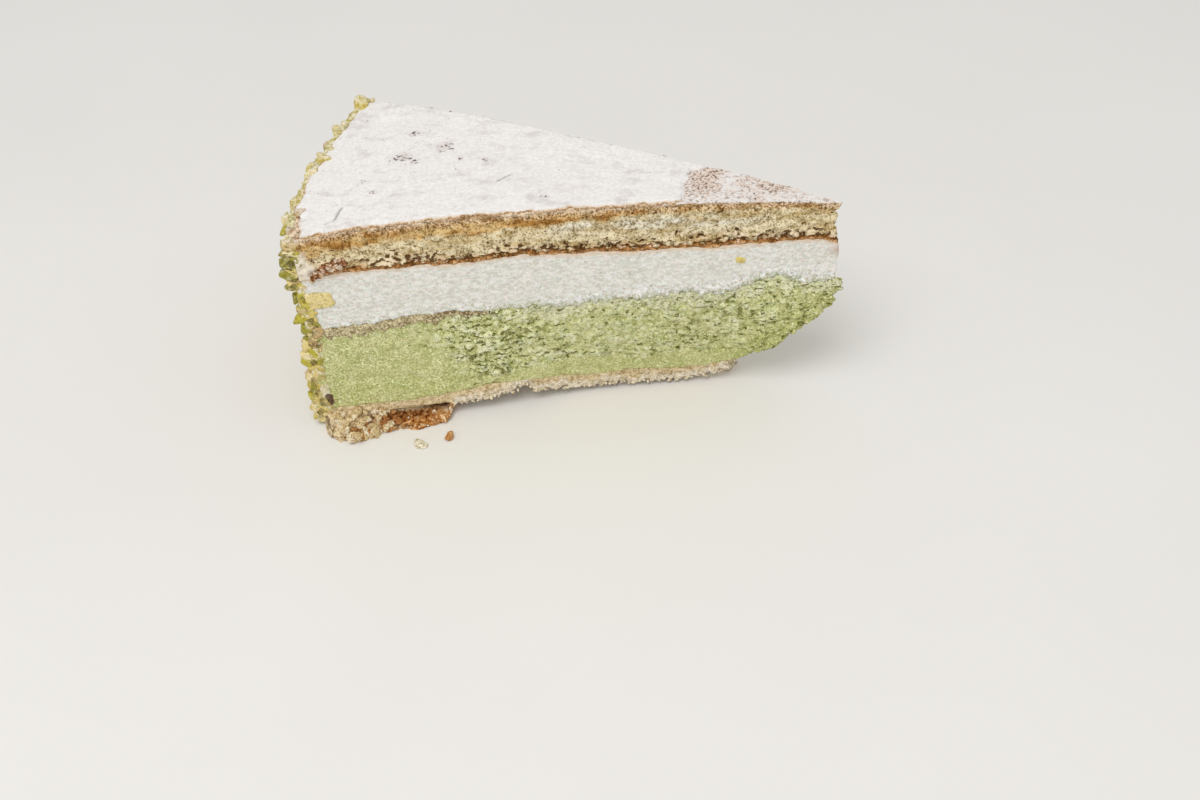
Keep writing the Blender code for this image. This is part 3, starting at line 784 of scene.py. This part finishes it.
def make_chip(name, material, s, z, half_length, half_height, tilt, tone):
    """Nut chip set in the front cut: an icosphere pressed towards a rounded box, 0.4 mm thick and uneven."""
    directions, faces = sphere_faces(4)
    across, rise, out = (np.sign(directions) * np.abs(directions) ** 0.6).T
    across, rise = across * half_length, rise * half_height
    bumps = 1.0 + 0.14 * fractal(np.stack((across, rise), axis=1), 1.2, 3, 101)
    across, rise = across * bumps, rise * bumps
    along = s - across * math.cos(tilt) + rise * math.sin(tilt)
    height = z + rise * math.cos(tilt) + across * math.sin(tilt)
    points = on_front(along, 0.4 * out + 0.05, height)
    make_piece(name, points, faces, material, "pistachio_nut", tone=np.full(len(points), tone),
               dust=np.zeros(len(points)))


# Materials

NOISE, RAMP, MIX, MATH = "ShaderNodeTexNoise", "ShaderNodeValToRGB", "ShaderNodeMix", "ShaderNodeMath"
READ, STRETCH, BUMP, PLACES = "ShaderNodeAttribute", "ShaderNodeMapping", "ShaderNodeBump", "ShaderNodeTexCoord"
# The colour mixer's sockets are known by number: amount of the second colour, first and second colour, result
AMOUNT, FIRST, SECOND = 0, 6, 7
COLOURS = {"data_type": "RGBA", "output": 2}
SHADED = {"blend_type": "MULTIPLY", **COLOURS}
ADDED = {"operation": "MULTIPLY_ADD"}
TIMES = {"operation": "MULTIPLY", "use_clamp": True}
BUMP_STRENGTH = 0.7
# Factors on a pattern's coordinates: below 1 they draw its lumps out along the cake, or along one axis
EVEN, FLAT, FLATTER, LONG, DRAWN = (1, 1, 1), (0.6, 0.6, 1), (0.55, 0.55, 1), (0.3, 0.3, 1), (0.6, 1, 1)


def linear(code):
    """sRGB hex code as linear red, green, blue and full alpha."""
    parts = [int(code[i:i + 2], 16) / 255 for i in (1, 3, 5)]
    return (*[c / 12.92 if c <= 0.04045 else ((c + 0.055) / 1.055) ** 2.4 for c in parts], 1.0)


def add(tree, kind, inputs=None, stops=(), output=0, **settings):
    """Add a node with its settings and links, and give its output.

    inputs are values, hex colours or the outputs that feed them; stops are a ramp's places, each with a hex
    colour or a number.
    """
    node = tree.nodes.new(kind)
    for key, value in settings.items():
        setattr(node, key, value)
    for key, value in (inputs or {}).items():
        if isinstance(value, bpy.types.NodeSocket):
            tree.links.new(value, node.inputs[key])
        else:
            node.inputs[key].default_value = linear(value) if isinstance(value, str) else value
    for index, (place, colour) in enumerate(stops):
        element = node.color_ramp.elements[index] if index < 2 else node.color_ramp.elements.new(place)
        element.position = place
        element.color = linear(colour) if isinstance(colour, str) else (colour, colour, colour, 1.0)
    return node.outputs[output]


def start_material(name, roughness, ior, specular, zones, *patterns, **values):
    """A material with its shader's constants. Gives it, what adds its nodes, and the numbers it works with.

    Those are first its zones, which are the mesh attributes of these names, and then its patterns: each a noise
    given as (stretch, size of its lumps in millimetres, detail, roughness).
    """
    material = bpy.data.materials.new(name)
    material.use_nodes = True
    shader = material.node_tree.nodes["Principled BSDF"]
    constants = {"Roughness": roughness, "IOR": ior, "Specular_IOR_Level": specular, **values}
    for key, value in constants.items():
        shader.inputs[key.replace("_", " ")].default_value = value
    node = functools.partial(add, material.node_tree)
    place = node(PLACES, output="Object")
    numbers = [node(READ, output="Fac", attribute_name=zone) for zone in zones.split()]
    for stretch, size, detail, rough in patterns:
        where = place if stretch == EVEN else node(STRETCH, {"Vector": place, "Scale": stretch})
        lumps = {"Scale": 1.0 / (size * MM), "Detail": detail, "Roughness": rough}
        numbers.append(node(NOISE, {"Vector": where, **lumps}))
    return material, node, *numbers


def paint(node, colour, *layers):
    """Lay colours over the first one, in order.

    A layer of three is (part, stops, second colour): that colour covers as much as part says, taken through a
    ramp where there are stops. A layer of two is (part, stops): the colour is multiplied by that ramp's. A part
    given as (zone, factor, noise) is factor times the zone plus the noise, which makes the zone's border ragged.
    """
    for part, stops, *second in layers:
        if isinstance(part, tuple):
            part = node(MATH, dict(enumerate(part)), **ADDED)
        if stops:
            part = node(RAMP, {"Fac": part}, stops)
        if second:
            colour = node(MIX, {AMOUNT: part, FIRST: colour, SECOND: second[0]}, **COLOURS)
        else:
            colour = node(MIX, {AMOUNT: 1.0, FIRST: colour, SECOND: part}, **SHADED)
    return colour


def finish_material(material, colour, height, depth):
    """Feed the colour, and a bump of this depth in millimetres."""
    tree = material.node_tree
    shader = tree.nodes["Principled BSDF"]
    normal = add(tree, BUMP, {"Height": height, "Strength": BUMP_STRENGTH, "Distance": depth * MM})
    tree.links.new(normal, shader.inputs["Normal"])
    tree.links.new(colour, shader.inputs["Base Color"])
    return material


def sponge_material():
    """Sponge baked in a tin and cut with a knife, icing sugar sifted over it.

    Matt open crumb with dark pores, painted as the shade in its holes, and pale strands between them, a golden
    upper skin, an orange-brown lower skin with a dark line along its top, painted as shade in the gap above it.
    Its finest grain is 0.5 mm, coarser than the real crumb's, so that it shows.
    """
    (material, node, under, over, golden, pale, rows, smeared, dusted, grain, fine, uneven, spots, powder, holes,
     streaks) = start_material("sponge_baked_and_cut", 0.85, 1.4, 0.15,
                               "under over golden pale rows smeared dusted",
                               (EVEN, 2.0, 4, 1.0), (EVEN, 0.5, 2, 0.55), (EVEN, 1.6, 4, 0.65), (EVEN, 0.6, 2, 0.55),
                               (EVEN, 0.9, 3, 0.6), (FLAT, 0.9, 2, 0.55), (LONG, 2.2, 3, 0.55))
    gold = node(RAMP, {"Fac": streaks}, ((0.42, "#d8a763"), (0.5, "#e3ba7a"), (0.58, "#eecd92")))
    rind = node(RAMP, {"Fac": fine}, ((0.42, "#ae7434"), (0.58, "#ffe6c4")))
    low = node(MATH, {0: uneven, 1: 0.5, 2: over}, **ADDED)
    # The lower skin darkens towards its top: its own brown, with painted shade of the gap above it
    crust = node(RAMP, {"Fac": low}, ((0.23, "#f0c89c"), (0.28, "#d4a068"), (0.33, "#b07a44"), (0.38, "#74491f")))
    colour = paint(node, "#fbecc6",
                   ((uneven, 0.7, golden), ((0.5, 0.0), (1.0, 1.0)), gold),
                   (pale, ((0.0, 0.0), (1.0, 0.7)), "#fffdf2"),
                   ((uneven, 0.5, under), ((0.34, 0.9), (0.50, 0.0)), rind),
                   ((fine, 0.5, under), ((0.25, 0.8), (0.35, 0.0)), "#fdebd6"),
                   (low, ((0.36, 1.0), (0.41, 0.0)), crust),
                   (grain, ((0.41, "#aa9d82"), (0.49, "#e4e1da"), (0.56, "#ffffff"))))
    specks = node(RAMP, {"Fac": fine}, ((0.34, "#a5977a"), (0.44, "#ffffff")))
    colour = node(MIX, {AMOUNT: 0.7, FIRST: colour, SECOND: specks}, **SHADED)
    colour = paint(node, colour,
                   ((rows, 0.15, holes), ((0.69, 0.0), (0.75, 0.8)), "#ffe8cc"),
                   # Dark brown pores: painted shade in the crumb's holes
                   ((rows, -0.15, holes), ((0.28, 0.95), (0.33, 0.0)), "#5e3b1c"),
                   (streaks, ((0.38, "#e2d6bc"), (0.52, "#ffffff"))),
                   (smeared, (), "#f0e6d4"))
    skin = node(RAMP, {"Fac": spots}, ((0.38, "#6e584c"), (0.45, "#c8b0a0"), (0.56, "#ecdacc")))
    skin = paint(node, skin, ((dusted, 0.5, powder), ((0.60, 0.0), (0.90, 0.95)), "#f4f0ed"))
    colour = paint(node, colour, (dusted, ((0.0, 0.0), (0.05, 1.0)), skin))
    return finish_material(material, colour, grain, 0.3)


def crumb_line_material():
    """Sponge crumbs soaked by the creams on both sides: greyish tan, finely speckled, browner along the top."""
    material, node, browned, grain, spots = start_material(
        "crumbs_soaked", 0.8, 1.4, 0.2, "browned", (EVEN, 0.55, 3, 0.7), (EVEN, 0.8, 2, 0.55))
    colour = paint(node, "#f4e6bc",
                   ((browned, 0.18, spots), ((0.57, 0.0), (0.65, 0.8)), "#8e6c38"),
                   (grain, ((0.37, "#97917f"), (0.5, "#d6d4d0"), (0.62, "#ffffff"))))
    return finish_material(material, colour, grain, 0.3)


def ricotta_material():
    """Ricotta whipped with cream, set cold and cut: soft white, faintly satin, fine smears and a few curds."""
    material, node, lumpy, stained, mixed, brown_end, smears, fine, greens, relief = start_material(
        "ricotta_whipped", 0.5, 1.42, 0.3, "lumpy stained mixed brown_end", (FLAT, 0.9, 3, 0.9),
        (EVEN, 0.7, 2, 0.55), (EVEN, 0.55, 2, 0.6), (EVEN, 0.6, 4, 0.55),
        Subsurface_Weight=0.15, Subsurface_Scale=0.0015)
    curds = node(RAMP, {"Fac": fine}, ((0.5, 0.0), (0.58, 1.0)))
    curds = node(MATH, {0: curds, 1: lumpy}, **TIMES)
    colour = node(RAMP, {"Fac": smears}, ((0.40, "#dad8cd"), (0.5, "#ebe9e1"), (0.58, "#f8f6f0")))
    colour = paint(node, colour,
                   # Brown-grey flecks; among the lumps there are more of them, as painted shade between the curds
                   ((lumpy, -0.08, fine), ((0.27, 0.65), (0.34, 0.0)), "#aaa28c"),
                   (curds, (), "#ffffff"),
                   (stained, ((0.0, 0.0), (1.0, 0.55)), "#e8c39c"),
                   ((mixed, 0.25, greens), ((0.61, 0.0), (0.75, 0.75)), "#b4b48c"),
                   (brown_end, (), "#a5744c"))
    return finish_material(material, colour, relief, 0.25)


def coat_material():
    """Ricotta cream spread on the wall and filled with nut dust: cream white, yellow green in places."""
    material, node, dust, relief = start_material("cream_with_nut_dust", 0.6, 1.42, 0.25, "",
                                                  (EVEN, 1.2, 3, 0.65), (EVEN, 0.6, 3, 0.55))
    colour = node(RAMP, {"Fac": dust}, ((0.38, "#b5a95c"), (0.48, "#d8cb92"), (0.60, "#f0e9d2")))
    return finish_material(material, colour, relief, 0.3)


def pistachio_material():
    """Pistachio cream set cold, cut, and crumbled by the knife: light green, olive creases, pale flecks.

    It varies in broad patches, and ricotta is smeared over it in places. Its grain is 0.45 mm, coarser than the
    ground nuts in it, so that it shows. Its olive creases and dark dotted pits are painted shade; its lumps are
    painted lighter and its hollows and torn tip darker, as painted light and shade.
    """
    (material, node, high, smooth_part, torn, haze, broken, crease, foot, grain, fine, patches, coarse, flecks,
     pit_shade_dots) = start_material("pistachio_cream_set", 0.6, 1.42, 0.2,
                            "high smooth_part torn haze broken crease foot",
                            (EVEN, 0.45, 3, 0.7), (EVEN, 0.65, 2, 0.55), (EVEN, 3.5, 3, 0.55), (EVEN, 1.3, 4, 1.0),
                            (EVEN, 0.6, 1, 0.55), (FLATTER, 0.9, 2, 0.55),
                            Subsurface_Weight=0.08, Subsurface_Scale=0.001)
    # Painted shade on the torn folds at the tip: a deeper green on their lumps
    tip_fold_shade = node(MATH, {0: torn, 1: high}, **TIMES)
    # Painted light and shade: lighter on the lumps, darker in the hollows and on the tip
    colour = node(RAMP, {"Fac": high}, ((0.2, "#e2e2a6"), (0.5, "#f4f4bc"), (0.85, "#ffffdc")))
    colour = paint(node, colour, (smooth_part, (), "#f4f4b8"), (tip_fold_shade, (), "#e4e7a0"))
    # Painted shade: the torn folds at the tip multiplied a little darker
    colour = node(MIX, {AMOUNT: torn, FIRST: colour, SECOND: "#f1f1e8"}, **SHADED)
    shade = node(RAMP, {"Fac": grain}, ((0.37, "#b2b28e"), (0.5, "#dadace"), (0.62, "#fafaf6")))
    coarse = node(RAMP, {"Fac": coarse}, ((0.41, "#98986c"), (0.48, "#e6e6da"), (0.54, "#ffffff")))
    shade = paint(node, shade, (broken, (), coarse))
    colour = paint(node, colour,
                   (patches, ((0.42, "#ecf0e0"), (0.58, "#ffffff"))),
                   ((haze, 0.35, fine), ((0.64, 0.0), (0.76, 0.75)), "#f8f6dc"),
                   (shade, ()),
                   (flecks, ((0.60, 0.0), (0.66, 0.85)), "#f8f8c8"),
                   # Dark olive dots among the lumps: painted shade in small pits
                   ((broken, -0.16, pit_shade_dots), ((0.23, 0.9), (0.28, 0.0)), "#62641c"),
                   # Olive painted shade in the creases, pits, crevice and fold
                   (crease, ((0.25, 0.0), (0.95, 0.7)), "#72722e"),
                   ((foot, grain, 0.0), ((0.45, 0.0), (1.0, 0.75)), "#b49659"))
    return finish_material(material, colour, grain, 0.35)


def biscuit_material():
    """Biscuit sponge baked thin, soaked and torn: cream-beige crumb, its crust in orange and dark brown."""
    (material, node, lump, pale, crust_part, tan_end, gap, grain, fine, veins) = start_material(
        "biscuit_torn", 0.85, 1.4, 0.15, "lump pale crust tan_end gap",
        (EVEN, 1.1, 4, 0.9), (EVEN, 0.8, 2, 0.55), (EVEN, 1.1, 4, 0.75))
    crust = node(RAMP, {"Fac": veins}, ((0.38, "#461e06"), (0.46, "#9c5c28"), (0.55, "#c68a48"), (0.64, "#f2d4a6")))
    tan = node(RAMP, {"Fac": veins}, ((0.38, "#96602c"), (0.5, "#d9a262"), (0.62, "#ffe8c4")))
    # A lighter tan on the crusty piece's inner end: its own colour, with painted light where that end is lit
    crust = paint(node, crust, (tan_end, (), tan))
    colour = paint(node, "#f4e0b8",
                   (pale, (), "#fff5e2"),
                   ((lump, -0.1, fine), ((0.29, 0.8), (0.34, 0.0)), "#9c6a3c"),
                   (grain, ((0.40, "#b2a488"), (0.49, "#e6e2da"), (0.56, "#ffffff"))),
                   (crust_part, (), crust),
                   # Dark brown painted shade in cracks, the split and the crust's top
                   (gap, (), "#46220c"))
    return finish_material(material, colour, grain, 0.3)


def crumb_material():
    """Biscuit and crust broken to bits: mostly cream-beige, some orange brown, each bit in its own tone."""
    material, node, tone, grain = start_material("crumbs_broken", 0.85, 1.4, 0.15, "tone", (EVEN, 0.5, 3, 0.7))
    colour = node(RAMP, {"Fac": tone}, ((0.0, "#e4cc9e"), (0.4, "#f8e4bc"), (0.62, "#fff8e4"), (0.70, "#e4b074"),
                                        (0.85, "#bc8250"), (1.0, "#80522e")))
    colour = paint(node, colour, (grain, ((0.38, "#ac9a76"), (0.48, "#e4e0d8"), (0.58, "#ffffff"))))
    return finish_material(material, colour, grain, 0.2)


def crust_material():
    """Sponge crust curled and torn by the knife: reddish brown with pale crumb sticking to it."""
    material, node, tone, grain = start_material("crust_curled", 0.8, 1.4, 0.15, "tone", (EVEN, 0.5, 3, 0.7))
    tone = node(MATH, {0: grain, 1: 0.8, 2: tone}, **ADDED)
    colour = node(RAMP, {"Fac": tone}, ((0.38, "#6e4020"), (0.55, "#a8744a"), (0.75, "#e0b48c"), (0.95, "#fff0dc")))
    colour = paint(node, colour, (grain, ((0.37, "#a8957c"), (0.5, "#dcd6ce"), (0.62, "#ffffff"))))
    return finish_material(material, colour, grain, 0.2)


def sugar_material():
    """Icing sugar sifted on: matt white powder, drifts of faint grey, specks of browned skin where it is thin.

    Its grains are under 0.1 mm, too fine to show, so the powder is drawn as clumps of 0.8 mm. The faint grey
    streaks are painted soft shade of its drifts.
    """
    (material, node, edge, thin, crack, powder, drift_shade, crumbs, specks) = start_material(
        "icing_sugar_sifted", 0.9, 1.45, 0.15, "edge thin crack", (EVEN, 0.8, 4, 0.75), (DRAWN, 4.0, 5, 0.75),
        (EVEN, 0.55, 3, 0.7), (EVEN, 0.75, 2, 0.55))
    shadows = node(MATH, {0: thin, 1: powder}, **TIMES)
    specks = node(MATH, {0: thin, 1: 0.24, 2: specks}, **ADDED)
    specks = node(RAMP, {"Fac": specks}, ((0.73, 0.0), (0.78, 0.85)))
    specks = node(MATH, {0: crack, 1: 0.7, 2: specks}, use_clamp=True, **ADDED)
    colour = node(RAMP, {"Fac": powder}, ((0.36, "#ece8e5"), (0.5, "#f5f1ee"), (0.62, "#fcfaf9")))
    colour = paint(node, colour,
                   # Faint grey streaks: painted soft shade of the drifts
                   (drift_shade, ((0.51, 0.0), (0.66, 0.65)), "#d7d0cc"),
                   (edge, ((0.0, 0.0), (0.8, 0.8)), "#e2c6a0"),
                   ((edge, 0.32, crumbs), ((0.70, 0.0), (0.86, 0.85)), "#a87a48"),
                   (shadows, ((0.2, 0.0), (0.6, 0.5)), "#cfc0b8"),
                   (specks, (), "#63524a"))
    return finish_material(material, colour, powder, 0.2)


def nut_material():
    """Pistachio kernels chopped by hand: waxy flesh from pale yellow to green, some with dark purple skin.

    dust is sugar that fell on the bits at the rim; some are smeared with cream.
    """
    material, node, tone, dust, mottle, smear = start_material(
        "pistachios_chopped", 0.5, 1.46, 0.3, "tone dust", (EVEN, 0.8, 3, 0.7), (EVEN, 1.4, 3, 0.55))
    tone = node(MATH, {0: mottle, 1: 0.14, 2: tone}, **ADDED)
    powder = node(RAMP, {"Fac": mottle}, ((0.42, 0.2), (0.56, 1.0)))
    powder = node(MATH, {0: powder, 1: dust}, **TIMES)
    colour = node(RAMP, {"Fac": tone}, ((0.07, "#fbecb8"), (0.27, "#ead587"), (0.42, "#dac85c"), (0.57, "#c4ba44"),
                                        (0.69, "#9c9740"), (0.79, "#e4ca94"), (0.89, "#b08755"), (0.99, "#664a38")))
    colour = paint(node, colour,
                   (smear, ((0.55, 0.0), (0.68, 0.4)), "#f8f0da"),
                   (mottle, ((0.37, "#d2cab6"), (0.52, "#ffffff"))),
                   (powder, (), "#f3efec"))
    return finish_material(material, colour, mottle, 0.2)


def floor_material():
    """Plain pale studio floor, evenly painted."""
    material, node, shades = start_material("floor_pale", 0.6, 1.45, 0.2, "", (EVEN, 80.0, 2, 0.55))
    colour = node(RAMP, {"Fac": shades}, ((0.3, "#f0eeeb"), (0.7, "#f2f0ed")))
    return finish_material(material, colour, shades, 0.01)


# Studio

def make_floor():
    """Square floor at height 0."""
    mesh = bpy.data.meshes.new("studio_floor")
    corners = [(x * FLOOR_REACH, y * FLOOR_REACH, 0.0) for x, y in ((-1, -1), (1, -1), (1, 1), (-1, 1))]
    mesh.from_pydata(corners, [], [(0, 1, 2, 3)])
    mesh.materials.append(floor_material())
    floor = bpy.data.objects.new("studio_floor", mesh)
    bpy.context.scene.collection.objects.link(floor)


def make_camera():
    """Camera on a line from the aim point, turned about that line by the roll."""
    aim = np.array((TIP_X + CAMERA_AIM[0], TIP_Y + CAMERA_AIM[1], 0.0))
    flat = math.cos(CAMERA_ELEVATION)
    back = np.array((flat * math.sin(CAMERA_AZIMUTH), -flat * math.cos(CAMERA_AZIMUTH),
                     math.sin(CAMERA_ELEVATION)))
    level = np.cross((0.0, 0.0, 1.0), back)
    level /= np.linalg.norm(level)
    upright = np.cross(back, level)
    right = math.cos(CAMERA_ROLL) * level + math.sin(CAMERA_ROLL) * upright
    up = np.cross(back, right)
    place = (aim + back * CAMERA_DISTANCE) * MM
    rows = [[*row, spot] for row, spot in zip(np.stack((right, up, back), axis=1), place)]
    camera = bpy.data.objects.new("camera", bpy.data.cameras.new("camera"))
    camera.data.sensor_width = SENSOR_WIDTH
    camera.data.lens = CAMERA_LENS
    camera.data.clip_start = NEAREST_SEEN
    camera.matrix_world = Matrix([*rows, [0, 0, 0, 1]])
    bpy.context.scene.collection.objects.link(camera)
    bpy.context.scene.camera = camera


def make_lights():
    """White surroundings, and one large soft light high in front and to the left."""
    world = bpy.data.worlds.new("studio")
    world.use_nodes = True
    background = world.node_tree.nodes["Background"]
    background.inputs["Color"].default_value = linear(SURROUNDINGS)
    background.inputs["Strength"].default_value = SURROUNDINGS_STRENGTH
    bpy.context.scene.world = world
    key = bpy.data.lights.new("key", "AREA")
    key.energy = LAMP_POWER
    key.size = LAMP_SIZE
    lamp = bpy.data.objects.new("key", key)
    lamp.location = LAMP_PLACE
    lamp.rotation_euler = (Vector(LAMP_AIM) - lamp.location).to_track_quat("-Z", "Y").to_euler()
    bpy.context.scene.collection.objects.link(lamp)
    bpy.context.scene.view_settings.view_transform = "Standard"


make_camera()
make_lights()
make_floor()
make_sponge(sponge_material())
make_sugar(sugar_material())
make_ricotta(ricotta_material())
make_crumb_line(crumb_line_material())
make_pistachio(pistachio_material())
make_base(biscuit_material())
crumbs = crumb_material()
make_base_crumbs(crumbs)
make_loose_crumbs(crumbs)
make_curled_crust(crust_material())
make_coat(coat_material())
nuts = nut_material()
make_nuts(nuts)
make_chip("nut_chip_in_ricotta", nuts, 120.2, 40.2, 3.3, 2.3, 0.05, 0.12)
make_chip("yellow_fleck", nuts, 22.2, 42.7, 1.0, 0.75, -0.5, 0.24)
